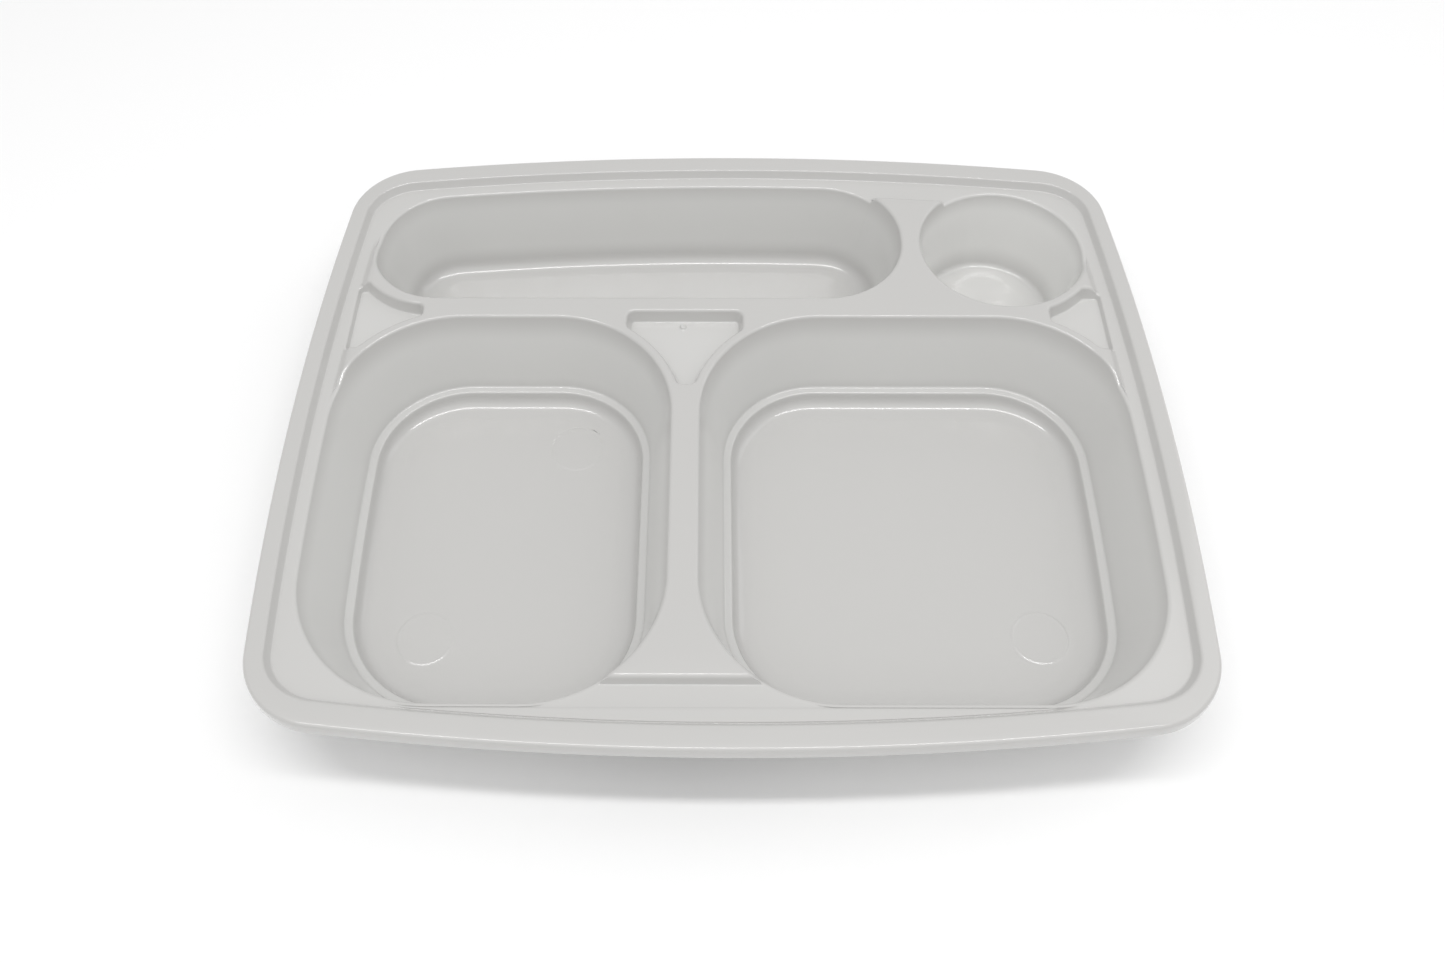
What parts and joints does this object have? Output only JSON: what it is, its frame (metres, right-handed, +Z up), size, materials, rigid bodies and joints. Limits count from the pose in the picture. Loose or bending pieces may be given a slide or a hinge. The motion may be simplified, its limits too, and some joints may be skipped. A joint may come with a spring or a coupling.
{
  "type": "compartment meal tray",
  "caption": "Shallow thermoformed meal tray with two large wells, a long well, a small round well and a stepped, turned-down rim.",
  "frame": {"origin": "centre of the bounding box, on the table under the wells", "axes": "+X to the right along the tray's width, towards the round well's side; +Y away from the eater, towards the long well; +Z up out of the open wells"},
  "size_m": [0.25, 0.21, 0.0306],
  "materials": {
    "formed_sheet": "white formed plastic sheet with a soft satin sheen, very slightly translucent"
  },
  "bodies": {
    "root": {"rim": "formed_sheet", "deck": "formed_sheet", "left_main_well": "formed_sheet", "right_main_well": "formed_sheet", "long_well": "formed_sheet", "round_well": "formed_sheet", "centre_pocket": "formed_sheet", "left_pocket": "formed_sheet", "right_pocket": "formed_sheet"}
  },
  "joints": []
}
